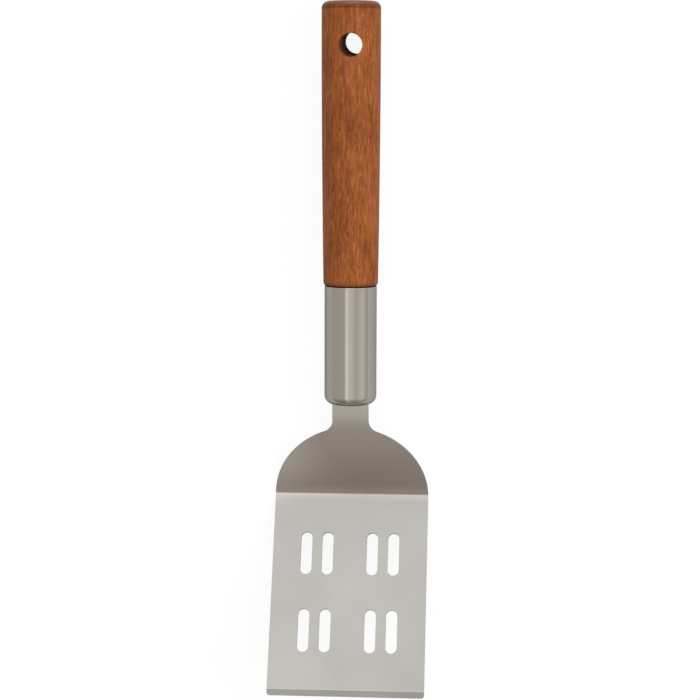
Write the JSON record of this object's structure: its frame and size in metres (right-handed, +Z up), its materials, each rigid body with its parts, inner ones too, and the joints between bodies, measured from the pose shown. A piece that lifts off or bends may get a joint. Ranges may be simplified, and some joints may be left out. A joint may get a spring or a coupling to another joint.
{
  "type": "slotted kitchen turner",
  "caption": "Slotted stainless turner with a flat bent blade on a half-round shoulder, a round steel ferrule and a round wooden handle with a hanging hole.",
  "frame": {"origin": "on the table under the middle of the turner's bounding box, as it lies face up on its heel and the belly of its handle", "axes": "+X across the blade to the right seen from above with the handle up, +Y along the handle towards its end, +Z up from the table"},
  "size_m": [0.0762, 0.3324, 0.0472],
  "materials": {
    "blade_steel": "fine brushed along the turner",
    "ferrule_steel": "satin, drawn along its length",
    "handle_wood": "reddish brown, clear varnish",
    "adhesive": "cured epoxy"
  },
  "bodies": {
    "root": {"blade": "blade_steel", "ferrule": "ferrule_steel", "handle": "handle_wood", "tang_adhesive": "adhesive"}
  },
  "joints": []
}
